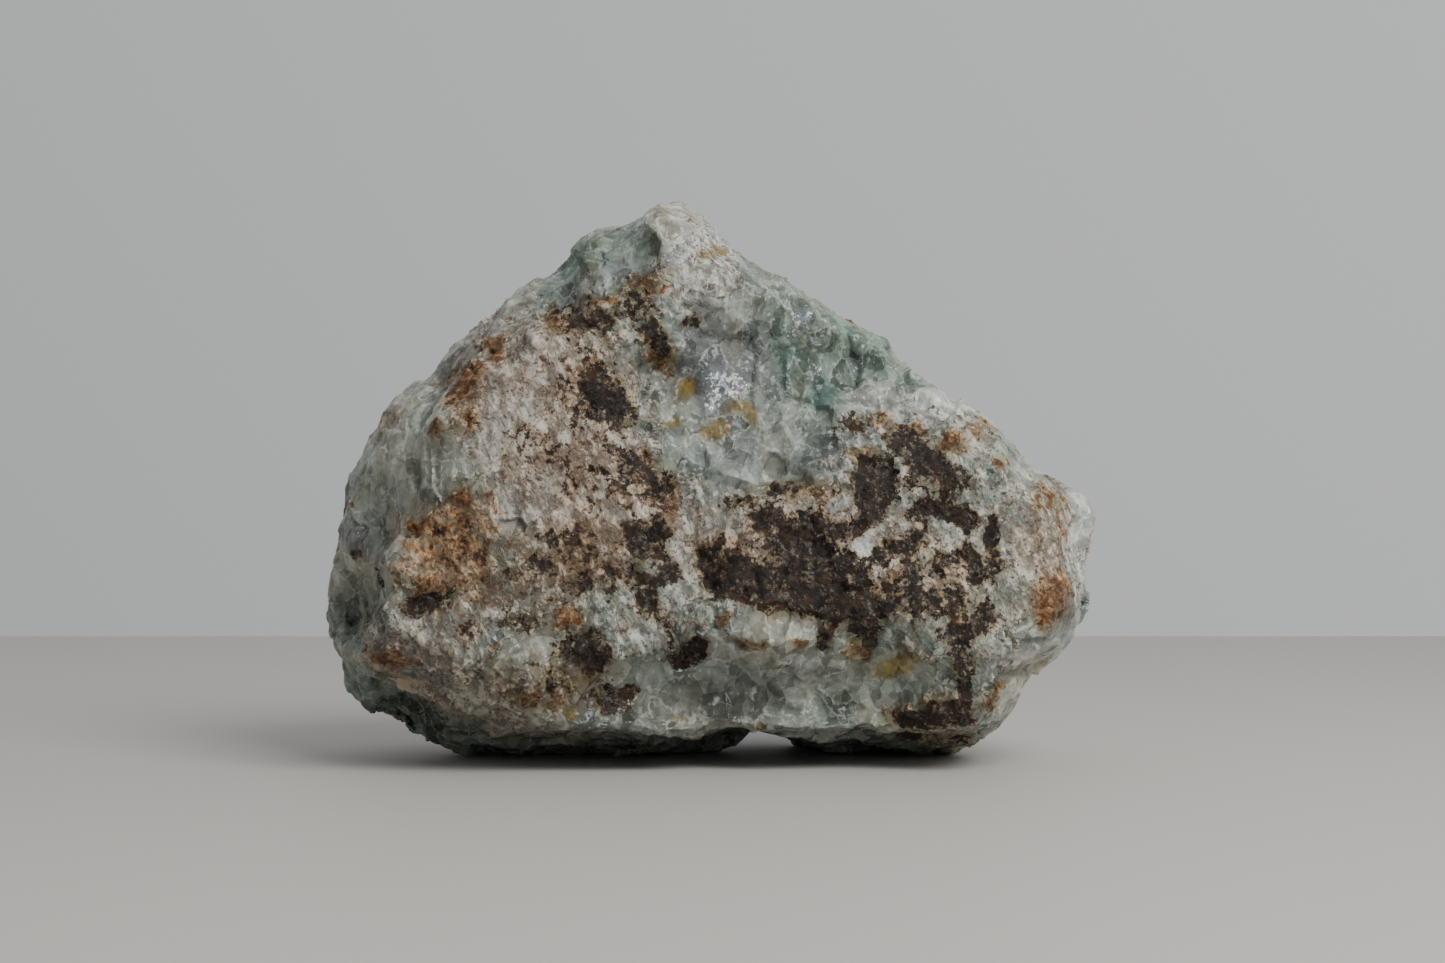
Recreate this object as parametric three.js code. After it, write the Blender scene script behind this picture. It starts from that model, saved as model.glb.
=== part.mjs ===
// A hand-sized lump of rough green fluorite, as broken from its vein: glassy fluorite behind,
// a proud crust of pale quartz in front, flat fracture faces, ledges and shell-shaped hollows.
// Units are millimetres. +X runs along the lump, +Y away from its crusted front, +Z up.
//
// The lump is one solid. lumpField(p) is below zero inside it. A ray from its middle through
// each corner of a fine ball finds where the field crosses zero, and the corners are then
// spread evenly over that surface.
import * as THREE from "three";
import { ImprovedNoise } from "three/addons/math/ImprovedNoise.js";
import { mergeVertices } from "three/addons/utils/BufferGeometryUtils.js";

// ---- Driving dimensions -------------------------------------------------------------------
const WIDTH = 165; // along X, tip to tip
const MIDDLE = new THREE.Vector3(0, 0, 50); // where the rays start
const BALL_DETAIL = 21; // the ball has 20 * (detail + 1)^2 triangles
const BALL_SHAPE = new THREE.Vector3(74, 50, 64); // spreads the rays over a flat lump
const BALL_FLATTEN = 0.42; // and turns those near its front and back outwards
const RAY_START = 130; // outside the lump from its middle, whatever the direction
const RAY_STEP = 4;
const RAY_HALVINGS = 9;
const EVENING_PASSES = 28; // how often the corners are spread out over the surface
const EVENING_SHARE = 0.6; // how far each pass moves a corner to the middle of its neighbours
const SLOPE_STEP = 0.4; // distance over which the slope of the field is measured
const LEAST_SLOPE = 0.5; // a gentler slope of the field counts as this steep
const LONGEST_SLIDE = 1.5; // the furthest that a corner moves back to the surface at once
const EDGE_ROUND = 1.1; // how much the corner between two faces is worn
const RESTING_SNAP = 0.08; // corners nearer the ground than this lie on it

// ---- The outline seen from the front: [x, z] clockwise from the peak ------------------------
const OUTLINE = [
  [-10, 119], [-4.5, 117], [-1, 114], [1.5, 110.5], [6, 106], [11, 103], [16, 101.5],
  [20, 98.5], [25, 96], [30, 92.5], [37, 90.5], [40, 88], [41, 84], [43, 82], [47.5, 79.5],
  [54.5, 74], [59.5, 71.5], [66, 65], [68.5, 62.5], [72.5, 60], [79, 56], [83, 54],
  [87, 51], [85.5, 47.5], [81, 45], [79.5, 41.5], [81, 36], [81.5, 31], [79, 26],
  [74, 20], [70.5, 17], [66.5, 15], [64, 9], [61.5, 4.5], [58, -12],
  [-52, -12], [-60.5, 4], [-63.5, 6], [-67.5, 8.5], [-75.5, 12.5], [-79.5, 16], [-83.5, 23],
  [-85, 31], [-82.5, 41], [-80, 52], [-77.5, 61], [-73.5, 68.5], [-69, 75.5], [-60, 81],
  [-55.5, 87.5], [-48, 93], [-44.5, 98.5], [-40, 100], [-33, 104], [-30.5, 108], [-28, 112],
  [-22.5, 114], [-16, 116],
];
// Where the outline lies from front to back, and how quickly the lump draws in from there.
const RIM_Y = [
  [0, -9], [30, -6], [62, -6], [98, -2], [122, 6], [150, 2], [180, -4], [215, -4], [270, -18],
  [325, -12], [360, -9],
]; // [degrees anticlockwise from +X, y]
const RIM_REACH = 34; // from the rim to where the sides have drawn in by RIM_DRAW
const RIM_DRAW = 0.2; // share of the distance from the middle
const RIM_POWER = 1.7;

// ---- Fracture faces: outward direction and distance from the middle -------------------------
// The crust lies on the faces that are crusted. wave is how far a face rises and falls.
const FACES = [
  { name: "front", out: [0.02, -0.98, 0.17], far: 32.0, wave: 1.2, crusted: true },
  { name: "front_foot", out: [0.02, -0.94, -0.34], far: 50.0, wave: 1.6 },
  { name: "left_flank", out: [-0.8, -0.59, 0.1], far: 68.5, wave: 1.8, crusted: true },
  { name: "upper_left", out: [-0.36, -0.66, 0.66], far: 59.5, wave: 1.6 },
  { name: "upper_right", out: [0.42, -0.62, 0.66], far: 52.5, wave: 1.7 },
  { name: "right_flank", out: [0.84, -0.53, 0.12], far: 72.0, wave: 1.4, crusted: true },
  { name: "low_left", out: [-0.5, -0.55, -0.67], far: 66.0, wave: 1.4, crusted: true },
  { name: "back", out: [-0.2, 0.95, 0.2], far: 34.0, wave: 2.0 },
  { name: "back_left", out: [-0.72, 0.68, 0.1], far: 58.0, wave: 2.0 },
  { name: "back_right", out: [0.55, 0.83, 0.08], far: 42.0, wave: 2.0 },
  { name: "back_top", out: [0.12, 0.66, 0.74], far: 50.0, wave: 1.8 },
  { name: "back_top_left", out: [-0.55, 0.4, 0.73], far: 63.0, wave: 1.6 },
  { name: "back_foot", out: [0.1, 0.78, -0.62], far: 48.0, wave: 1.6 },
  { name: "back_foot_left", out: [-0.6, 0.5, -0.62], far: 67.0, wave: 1.6 },
  { name: "right_foot", out: [0.72, 0.35, -0.6], far: 66.0, wave: 1.4 },
];
const WAVE_LENGTH = 17; // of the slow rise and fall of a fracture face

// ---- The crust on the front: slabs that stand proud of the fluorite, [x, z] outlines ---------
const SLABS = [
  {
    name: "left_crust",
    rise: 4.4,
    shoulder: 1.2,
    outline: [
      [-46, 90], [-33, 97.5], [-19.5, 100.5], [-12.5, 104], [-5, 95], [-6.5, 87], [-15, 81], [-16, 69],
      [-14.5, 55], [-7, 50], [-5, 33], [-15, 24], [-24, 18], [-41, 14.5], [-58, 12.5], [-78, 20],
      [-70, 27], [-65, 34], [-68.5, 42], [-59, 52], [-60, 68], [-54, 80],
    ],
  },
  {
    name: "right_crust",
    rise: 6.2,
    shoulder: 1,
    outline: [
      [3, 55.5], [17, 59.5], [26, 66], [31.5, 74], [46, 73], [59, 69.5], [57, 60], [72, 58.5], [78, 42],
      [77, 29], [68, 24], [61, 13], [58.5, 3], [39, 1], [38, 8], [50, 15], [41, 21.5], [25, 23],
      [-2, 22], [-5, 33], [2, 42],
    ],
  },
  {
    name: "peak_ridge",
    rise: 3.4,
    shoulder: 1.6,
    outline: [[-9, 120], [2, 111], [10, 102], [13, 90], [5, 86], [-3, 96], [-14, 106]],
  },
  {
    name: "hip",
    rise: 3,
    shoulder: 1.6,
    outline: [[-78, 20], [-70, 27], [-65, 34], [-68.5, 42], [-59, 46], [-50, 38], [-46, 24], [-58, 13]],
  },
];

// ---- Shell-shaped hollows: a ball of this middle and radius is taken away --------------------
const HOLLOWS = [
  { name: "window", at: [0, -63, 73], radius: 36 },
  { name: "window_top", at: [18, -59, 90], radius: 36 },
  { name: "green_bay", at: [35, -51, 86], radius: 31 },
  { name: "lens_seat", at: [-31, -35, 120], radius: 22 },
  { name: "left_scoop", at: [-89, -31, 33], radius: 21 },
  { name: "low_left_bay", at: [-72, -49, 0], radius: 29 },
  { name: "foot_bay", at: [0, -64, 7], radius: 31 },
  { name: "foot_bay_right", at: [28, -62, 9], radius: 29 },
  { name: "right_notch", at: [82, -36, 9], radius: 21 },
  { name: "right_dish", at: [101, -38, 56], radius: 34 },
  { name: "back_bowl", at: [22, 62, 72], radius: 36 },
  { name: "back_bowl_high", at: [-34, 62, 98], radius: 37 },
  { name: "back_bowl_low", at: [-30, 70, 22], radius: 38 },
  { name: "back_chip", at: [62, 40, 30], radius: 24 },
  { name: "left_back_chip", at: [-88, 28, 58], radius: 29 },
];

// ---- The underside: lumpy, and worn flat where it rests ---------------------------------------
const UNDERSIDE = { drop: -0.6, lump: 3.4, lumpLength: 25, grainShare: 0.55 };
const UNDERSIDE_LIFTS = [
  { along: "x", from: 40, to: 60, lift: 2.6 },
  { along: "x", from: -48, to: -64, lift: 4.5 },
  { along: "y", from: -12, to: -34, lift: 5.4 },
];
const UNDERSIDE_CHANNEL = { x: 8, halfWidth: 15, lift: 5.6, wander: 16 };

// ---- Grain: the stone breaks along small flat crystal faces that meet in sharp ridges --------
const GRAINS = [
  { size: 21, relief: 6.0, seed: 11 },
  { size: 10, relief: 3.4, seed: 47 },
];
const GRAIN_LEAN = 1.6; // how strongly a crystal face leans, as a share of its relief
const GRAIN_HOLLOW = 0.9; // how much deeper a face is cut in its middle than at its ridges
const GRAIN_LEVEL = 0.1; // keeps the grain's mean height near zero
const CRUST_GRAIN = 0.45; // share of the grain's relief that the crust shows
const OUTLINE_GRAIN = 0.7; // and the share that the outline shows
const OUTLINE_INSET = 2; // leaves room for the crystal faces that stand out of the outline

// ---- Helpers ----------------------------------------------------------------------------------
const smoothNoise = new ImprovedNoise();

const clamp01 = (t) => Math.min(1, Math.max(0, t));

const smoothStep = (from, to, value) => {
  const t = clamp01((value - from) / (to - from));
  return t * t * (3 - 2 * t);
};

// The larger of two fields, with the corner between them rounded.
function roundedMax(a, b, round) {
  const near = Math.max(round - Math.abs(a - b), 0) / round;
  return Math.max(a, b) + (near * near * round) / 4;
}

const noiseAt = (p, length, seed) =>
  smoothNoise.noise(p.x / length + seed, p.y / length + 0.37 * seed, p.z / length - seed);

// A repeatable number from -0.5 to 0.5 for a cell of the grain.
function cellRandom(i, j, k, seed) {
  const mixed = Math.sin(i * 127.1 + j * 311.7 + k * 74.7 + seed * 53.3) * 43758.5453;
  return mixed - Math.floor(mixed) - 0.5;
}

// How deep the crystal faces are cut at p. Each cell of the grain has a face with its own lean,
// and the deepest of them is the one that shows.
function grainDepth(p, { size, relief, seed }) {
  const [x, y, z] = [p.x / size, p.y / size, p.z / size];
  let deepest = -Infinity;
  for (let i = Math.round(x) - 1; i <= Math.round(x) + 1; i++)
    for (let j = Math.round(y) - 1; j <= Math.round(y) + 1; j++)
      for (let k = Math.round(z) - 1; k <= Math.round(z) + 1; k++) {
        const random = (n) => cellRandom(i, j, k, seed + n);
        const [dx, dy, dz] = [x - i - random(0), y - j - random(1), z - k - random(2)];
        const lean = dx * random(3) + dy * random(4) + dz * random(5);
        const depth = GRAIN_LEAN * lean - GRAIN_HOLLOW * (dx * dx + dy * dy + dz * dz);
        deepest = Math.max(deepest, depth);
      }
  return relief * (deepest + GRAIN_LEVEL);
}

// Signed distance from [x, z] to a polygon, below zero inside.
function polygonDistance(x, z, outline) {
  let nearest = Infinity;
  let inside = false;
  let [ax, az] = outline[outline.length - 1];
  for (const [bx, bz] of outline) {
    const t = clamp01(((x - ax) * (bx - ax) + (z - az) * (bz - az)) / ((bx - ax) ** 2 + (bz - az) ** 2));
    const dx = x - ax - t * (bx - ax);
    const dz = z - az - t * (bz - az);
    nearest = Math.min(nearest, dx * dx + dz * dz);
    if (az > z !== bz > z && x < ax + ((z - az) * (bx - ax)) / (bz - az)) inside = !inside;
    [ax, az] = [bx, bz];
  }
  return inside ? -Math.sqrt(nearest) : Math.sqrt(nearest);
}

// Value at an angle from a list of [degrees, value], straight between its points.
function valueAtAngle(list, degrees) {
  const next = list.findIndex(([angle]) => angle >= degrees);
  if (next <= 0) return list[0][1];
  const [[fromAngle, from], [toAngle, to]] = [list[next - 1], list[next]];
  return from + ((to - from) * (degrees - fromAngle)) / (toAngle - fromAngle);
}

// ---- The lump ---------------------------------------------------------------------------------
const faces = FACES.map((face, i) => ({
  ...face,
  out: new THREE.Vector3(...face.out).normalize(),
  seed: 3.7 * (i + 1),
}));
const hollows = HOLLOWS.map(({ at, radius }) => ({ at: new THREE.Vector3(...at), radius }));

// How far the crust stands proud of the front face at [x, z].
const crustRise = (x, z) =>
  SLABS.reduce(
    (sum, { rise, shoulder, outline }) =>
      sum + rise * smoothStep(shoulder, -shoulder, polygonDistance(x, z, outline)),
    0,
  );

// Distance outside the outline, which draws in towards the front and the back.
function outlineField(p) {
  const degrees = (THREE.MathUtils.radToDeg(Math.atan2(p.z - MIDDLE.z, p.x)) + 360) % 360;
  const drift = Math.abs(p.y - valueAtAngle(RIM_Y, degrees)) / RIM_REACH;
  const draw = 1 + RIM_DRAW * Math.pow(drift, RIM_POWER);
  return polygonDistance(p.x * draw, MIDDLE.z + (p.z - MIDDLE.z) * draw, OUTLINE);
}

function undersideHeight(p) {
  const { drop, lump, lumpLength } = UNDERSIDE;
  const { x, halfWidth, lift: rise, wander } = UNDERSIDE_CHANNEL;
  const fromChannel = Math.abs(p.x - x - wander * noiseAt(p, lumpLength, 8.3));
  const channel = 1 - smoothStep(0, halfWidth, fromChannel);
  const lifts = UNDERSIDE_LIFTS.reduce(
    (sum, { along, from, to, lift }) => sum + lift * smoothStep(from, to, p[along]),
    0,
  );
  return drop + rise * channel + lifts + lump * noiseAt(p, lumpLength, 5.1);
}

// Below zero inside the lump, above zero outside it, in about millimetres.
function lumpField(p) {
  const rel = p.clone().sub(MIDDLE);
  const crust = p.y < 0 ? crustRise(p.x, p.z) : 0;
  const grain = GRAINS.reduce((sum, size) => sum + grainDepth(p, size), 0);
  let field = -Infinity;
  for (const { out, far, wave, crusted, seed } of faces) {
    const proud = crusted ? crust : 0;
    const side = rel.dot(out) - far - proud - wave * noiseAt(p, WAVE_LENGTH, seed);
    field = roundedMax(field, side, EDGE_ROUND);
  }
  for (const { at, radius } of hollows)
    field = roundedMax(field, radius - p.distanceTo(at), EDGE_ROUND);
  field += grain * (1 - (1 - CRUST_GRAIN) * smoothStep(0, 2, crust));
  field = roundedMax(field, outlineField(p) + OUTLINE_INSET + OUTLINE_GRAIN * grain, EDGE_ROUND);
  field = roundedMax(field, undersideHeight(p) + UNDERSIDE.grainShare * grain - p.z, EDGE_ROUND);
  return Math.max(field, -p.z);
}

// The outermost place where the ray from the middle leaves the lump.
function surfacePoint(direction) {
  const at = (distance) => MIDDLE.clone().addScaledVector(direction, distance);
  let outside = RAY_START;
  while (outside > RAY_STEP && lumpField(at(outside - RAY_STEP)) > 0) outside -= RAY_STEP;
  let inside = outside - RAY_STEP;
  for (let n = 0; n < RAY_HALVINGS; n++) {
    const half = (inside + outside) / 2;
    if (lumpField(at(half)) > 0) outside = half;
    else inside = half;
  }
  return at(inside);
}

// Moves a point near the surface along the slope of the field, back to the surface.
function backToSurface(p) {
  const here = lumpField(p);
  const slope = new THREE.Vector3(
    lumpField(p.clone().setX(p.x + SLOPE_STEP)) - here,
    lumpField(p.clone().setY(p.y + SLOPE_STEP)) - here,
    lumpField(p.clone().setZ(p.z + SLOPE_STEP)) - here,
  ).divideScalar(SLOPE_STEP);
  const steepness = Math.max(slope.length(), LEAST_SLOPE);
  const slide = THREE.MathUtils.clamp(-here / steepness, -LONGEST_SLIDE, LONGEST_SLIDE);
  return p.addScaledVector(slope.normalize(), slide);
}

// Which corners each corner shares a triangle with.
function neighbourLists(geometry) {
  const lists = Array.from({ length: geometry.getAttribute("position").count }, () => new Set());
  const index = geometry.getIndex();
  for (let n = 0; n < index.count; n += 3)
    for (let side = 0; side < 3; side++) {
      const [a, b] = [index.getX(n + side), index.getX(n + ((side + 1) % 3))];
      lists[a].add(b);
      lists[b].add(a);
    }
  return lists;
}

function lumpGeometry() {
  const ball = new THREE.IcosahedronGeometry(1, BALL_DETAIL);
  ball.deleteAttribute("normal");
  ball.deleteAttribute("uv");
  const lump = mergeVertices(ball, 1e-5);
  const attribute = lump.getAttribute("position");
  let corners = Array.from({ length: attribute.count }, (_, n) => {
    const direction = new THREE.Vector3().fromBufferAttribute(attribute, n);
    direction.y *= 1 - BALL_FLATTEN * direction.y ** 2;
    return surfacePoint(direction.multiply(BALL_SHAPE).normalize());
  });
  const neighbours = neighbourLists(lump);
  for (let pass = 0; pass < EVENING_PASSES; pass++)
    corners = corners.map((corner, n) => {
      const middle = new THREE.Vector3();
      neighbours[n].forEach((other) => middle.addScaledVector(corners[other], 1 / neighbours[n].size));
      return backToSurface(corner.clone().lerp(middle, EVENING_SHARE));
    });
  corners.forEach((corner, n) => {
    if (corner.z < RESTING_SNAP) corner.z = 0;
    attribute.setXYZ(n, corner.x, corner.y, corner.z);
  });
  // The lump is scaled to its width and centred over the ground it rests on.
  lump.computeBoundingBox();
  const { min, max } = lump.boundingBox;
  lump.translate(-(min.x + max.x) / 2, -(min.y + max.y) / 2, 0);
  const scale = WIDTH / (max.x - min.x);
  lump.scale(scale, scale, scale);
  lump.computeVertexNormals();
  return lump;
}

// ---- The scene graph --------------------------------------------------------------------------
const fluorite = new THREE.Mesh(
  lumpGeometry(),
  new THREE.MeshStandardMaterial({ color: 0xa9b3a6, roughness: 0.6, metalness: 0, flatShading: true }),
);
fluorite.name = "fluorite_lump";

const part = new THREE.Group();
part.add(fluorite);

export default part;
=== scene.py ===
# %% [markdown]
# # A lump of rough fluorite
#
# The object is one broken piece of stone, about as long as a hand: green, glassy fluorite grains grown
# together with a pale, sugary quartz crust, and in the crust dark brown, rusty patches. The frame holds the
# lump's form as one faceted solid. Here it gets the fine surface and the colours of the real stone.
#
# Everything is in metres and stands in the frame's own place: +X runs along the lump, +Y away from its
# crusted front, +Z up, and the table is at z = 0. Lengths are written in millimetres times MM.

# %% Load the frame
import math
from collections import namedtuple
import bmesh
import bpy
import numpy as np
from mathutils import Matrix, Vector


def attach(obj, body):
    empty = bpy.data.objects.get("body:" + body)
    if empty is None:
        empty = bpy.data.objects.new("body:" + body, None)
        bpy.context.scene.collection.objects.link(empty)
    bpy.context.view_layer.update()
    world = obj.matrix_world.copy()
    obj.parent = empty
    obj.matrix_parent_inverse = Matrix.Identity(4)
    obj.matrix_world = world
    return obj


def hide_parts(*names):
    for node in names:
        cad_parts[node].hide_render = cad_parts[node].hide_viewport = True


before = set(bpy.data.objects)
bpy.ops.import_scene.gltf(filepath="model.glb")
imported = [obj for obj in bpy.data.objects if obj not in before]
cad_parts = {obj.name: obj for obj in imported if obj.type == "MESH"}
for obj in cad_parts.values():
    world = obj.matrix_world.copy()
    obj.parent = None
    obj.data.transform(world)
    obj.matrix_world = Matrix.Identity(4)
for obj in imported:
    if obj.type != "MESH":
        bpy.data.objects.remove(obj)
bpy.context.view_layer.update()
MM = 0.001

# %% [markdown]
# ## Where the stone is looked at from
#
# The stone is seen from a little above the table, from close by. A camera is a position, a point that it
# looks at and a lens. The same position is used again below, to say where on the front each patch of colour
# lies, as a painter says it who sits before the stone.

# %% Camera
EYE = Vector((2.4, -695, 70)) * MM
LOOKED_AT = Vector((2.4, -6, 58.9)) * MM
LENS_LENGTH = 50
SENSOR_WIDTH = 22.3


def aimed(thing, place, target):
    """Puts a camera or light at a place and turns it to a target."""
    turned = (target - place).to_track_quat("-Z", "Y").to_matrix().to_4x4()
    thing.matrix_world = Matrix.Translation(place) @ turned
    bpy.context.scene.collection.objects.link(thing)
    return thing


camera = aimed(bpy.data.objects.new("camera", bpy.data.cameras.new("camera")), EYE, LOOKED_AT)
camera.data.lens = LENS_LENGTH
camera.data.sensor_width = SENSOR_WIDTH
bpy.context.scene.camera = camera
print("camera distance in mm:", round((LOOKED_AT - EYE).length / MM))

# %% [markdown]
# ## Light and floor
#
# The stone stands by a window: one large, soft light comes from the right and a little from above, and the
# room gives the rest. An area light as wide as a window gives shadows with soft edges. The room is the
# world's colour, lighter behind the stone and to the right than in front of it.

# %% Window light
WINDOW_PLACE = Vector((430, -520, 640)) * MM
WINDOW_SIZE = 500 * MM
WINDOW_WATTS = 7.5
WINDOW_COLOUR = (1.0, 0.99, 0.97)

window = bpy.data.lights.new("window", "AREA")
window.shape = "SQUARE"
window.size = WINDOW_SIZE
window.energy = WINDOW_WATTS
window.color = WINDOW_COLOUR
aimed(bpy.data.objects.new("window", window), WINDOW_PLACE, Vector((0, 0, 50)) * MM)
print("window light:", WINDOW_WATTS, "W")

# %% Room light
ROOM_DARK = (0.10, 0.10, 0.10, 1)
ROOM_LIGHT = (0.70, 0.71, 0.72, 1)
LIGHT_FROM = (0.75, 0.45, 0.6)

room = bpy.data.worlds.new("room")
room.use_nodes = True
sky = room.node_tree
direction = sky.nodes.new("ShaderNodeTexCoord")
towards_light = sky.nodes.new("ShaderNodeVectorMath")
towards_light.operation = "DOT_PRODUCT"
towards_light.inputs[1].default_value = LIGHT_FROM
sky.links.new(direction.outputs["Generated"], towards_light.inputs[0])
spread = sky.nodes.new("ShaderNodeMapRange")
spread.inputs["From Min"].default_value = -0.9
spread.inputs["From Max"].default_value = 1.0
sky.links.new(towards_light.outputs["Value"], spread.inputs["Value"])
shade = sky.nodes.new("ShaderNodeMix")
shade.data_type = "RGBA"
shade.inputs[6].default_value = ROOM_DARK
shade.inputs[7].default_value = ROOM_LIGHT
sky.links.new(spread.outputs["Result"], shade.inputs["Factor"])
sky.links.new(shade.outputs[2], sky.nodes["Background"].inputs["Color"])
bpy.context.scene.world = room
print("room light from", ROOM_DARK[:3], "to", ROOM_LIGHT[:3])

# %% Pale floor
FLOOR_SIZE = 2600 * MM
FLOOR_FAR_EDGE = 400 * MM
FLOOR_COLOUR = (0.50, 0.48, 0.45, 1)

top = bmesh.new()
bmesh.ops.create_grid(top, x_segments=1, y_segments=1, size=FLOOR_SIZE / 2)
bmesh.ops.translate(top, verts=top.verts, vec=(0, FLOOR_FAR_EDGE - FLOOR_SIZE / 2, 0))
floor = bpy.data.objects.new("floor", bpy.data.meshes.new("floor"))
top.to_mesh(floor.data)
top.free()
bpy.context.scene.collection.objects.link(floor)
paint = bpy.data.materials.new("pale_floor")
paint.use_nodes = True
paint.node_tree.nodes["Principled BSDF"].inputs["Base Color"].default_value = FLOOR_COLOUR
paint.node_tree.nodes["Principled BSDF"].inputs["Roughness"].default_value = 0.6
floor.data.materials.append(paint)
print("floor:", FLOOR_SIZE / MM, "mm wide")

# %% [markdown]
# ## The body of the stone
#
# The frame's solid has the stone's planes, ledges and hollows, in triangles of about five millimetres. The
# real surface has grains of one to four millimetres. Sculpting them by hand would take days, and a bump
# pattern alone would leave the edges smooth. So a copy of the solid is merged, covered with an even net by a
# Remesh modifier, and moved in and out by a pattern. Last, a Decimate modifier takes away the triangles that
# the flatter places don't need.

# %% An even net over the solid
MERGE_GAP = 0.001 * MM
NET_SIZE = 0.46 * MM


def frozen(piece):
    """Turns a piece's modifiers into plain mesh."""
    bpy.context.view_layer.update()
    state = bpy.context.evaluated_depsgraph_get()
    finished = piece.evaluated_get(state)
    mesh = bpy.data.meshes.new_from_object(finished, preserve_all_data_layers=True, depsgraph=state)
    piece.modifiers.clear()
    piece.data = mesh
    return piece


def positions(mesh):
    """The mesh's points, one row each, in millimetres."""
    flat = np.empty(len(mesh.vertices) * 3, np.float32)
    mesh.vertices.foreach_get("co", flat)
    return flat.reshape(-1, 3) / MM


solid = bmesh.new()
solid.from_mesh(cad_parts["fluorite_lump"].data)
bmesh.ops.remove_doubles(solid, verts=solid.verts, dist=MERGE_GAP)
lump = bpy.data.objects.new("fluorite_stone", bpy.data.meshes.new("fluorite_stone"))
solid.to_mesh(lump.data)
solid.free()
bpy.context.scene.collection.objects.link(lump)
net = lump.modifiers.new("net", "REMESH")
net.mode = "VOXEL"
net.voxel_size = NET_SIZE
frozen(lump)
print("net:", len(lump.data.vertices), "points")

# %% [markdown]
# ## Where each kind of stone lies
#
# Crust, iron stains and green grains have their own places on the front. They are laid down as a painter
# does it: soft oval patches, one over the other, each at its place as seen from the camera, measured on an
# upright plane through the stone's middle. The patches are only the plan. Their edges get ragged in the
# material, where a fine pattern decides grain by grain which side a point belongs to.
#
# Each layer becomes an attribute of the mesh: a number or a colour kept at every point.

# %% Seen from the camera
Patch = namedtuple("Patch", "x z half_wide half_high turn value share", defaults=(1,))
Sight = namedtuple("Sight", "place normal x z facing front bend_x bend_z")
PATCH_CORE = 0.55
PATCH_EDGE = 1.35
STAIN_CORE = 0.25
STAIN_EDGE = 1.75
FRONT_FROM = -0.35
FRONT_FULL = 0.0


def ramp(values, low, high):
    """0 below low, 1 above high, and a smooth rise between."""
    t = np.clip((values - low) / (high - low), 0, 1)
    return t * t * (3 - 2 * t)


def wander(points, length, seed):
    """A soft, repeatable wave from about -1 to 1 over the stone, for edges that aren't straight."""
    chance = np.random.default_rng(seed)
    waves = 5
    total = np.zeros(len(points), np.float32)
    for _ in range(waves):
        heading = chance.normal(size=3)
        heading /= np.linalg.norm(heading) * length * chance.uniform(0.7, 1.5)
        total += np.sin(points @ heading * math.tau + chance.uniform(0, math.tau))
    return total / math.sqrt(waves * 2)


def looked_at(mesh):
    """Each point's place, normal, where it is seen, and how much it faces the camera."""
    place = positions(mesh)
    flat = np.empty(len(mesh.vertices) * 3, np.float32)
    mesh.vertices.foreach_get("normal", flat)
    normal = flat.reshape(-1, 3)
    eye = np.array(EYE) / MM
    nearness = -eye[1] / (place[:, 1] - eye[1])
    x = eye[0] + (place[:, 0] - eye[0]) * nearness
    z = eye[2] + (place[:, 2] - eye[2]) * nearness
    line = eye - place
    line /= np.linalg.norm(line, axis=1)[:, None]
    facing = (normal * line).sum(1)
    front = ramp(facing, FRONT_FROM, FRONT_FULL)
    bend_x = wander(place, 11, 1) * 1.3 + wander(place, 5, 2) * 0.6
    bend_z = wander(place, 11, 3) * 1.3 + wander(place, 5, 4) * 0.6
    return Sight(place, normal, x, z, facing, front, bend_x, bend_z)


def cover(sight, patch, core=PATCH_CORE, edge=PATCH_EDGE):
    """How much of a patch lies on each point, from 0 to 1. Large patches have more wandering edges."""
    turn = math.radians(patch.turn)
    bend = min(1, min(patch.half_wide, patch.half_high) / 6)
    dx = sight.x + sight.bend_x * bend - patch.x
    dz = sight.z + sight.bend_z * bend - patch.z
    along = (dx * math.cos(turn) + dz * math.sin(turn)) / patch.half_wide
    across = (dz * math.cos(turn) - dx * math.sin(turn)) / patch.half_high
    return 1 - ramp(np.hypot(along, across), core, edge)


def lay(sight, layer, patches, core=PATCH_CORE, edge=PATCH_EDGE):
    """Lays patches one over the other on a layer of numbers or colours."""
    for row in patches:
        patch = Patch(*row)
        amount = cover(sight, patch, core, edge) * patch.share * sight.front
        if layer.ndim == 2:
            layer += (np.array(patch.value) - layer) * amount[:, None]
        else:
            layer += (patch.value - layer) * amount
    return layer


def keep(name, layer):
    """Stores a layer in the mesh, as numbers, or as colours or places."""
    single = layer.ndim == 1
    made = lump.data.attributes.new(name, "FLOAT" if single else "FLOAT_VECTOR", "POINT")
    made.data.foreach_set("value" if single else "vector", layer.astype(np.float32).ravel())
    print(f"{name}: mean {layer.mean():.2f}")


# %% [markdown]
# ### Ledges and hollows
#
# Where such a lump broke from its vein, the crust stands a few millimetres proud of the glassy stone, and
# shell-shaped hollows are left where pieces popped out. Sculpt brushes could press these in by hand. Here
# each one is a soft oval with a depth, so a ledge can be moved or made deeper by changing one row.
#
# Points are pushed towards the front more than along their own normals. On a steep side, a push along the
# normals would crowd the net into folds.

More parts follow.
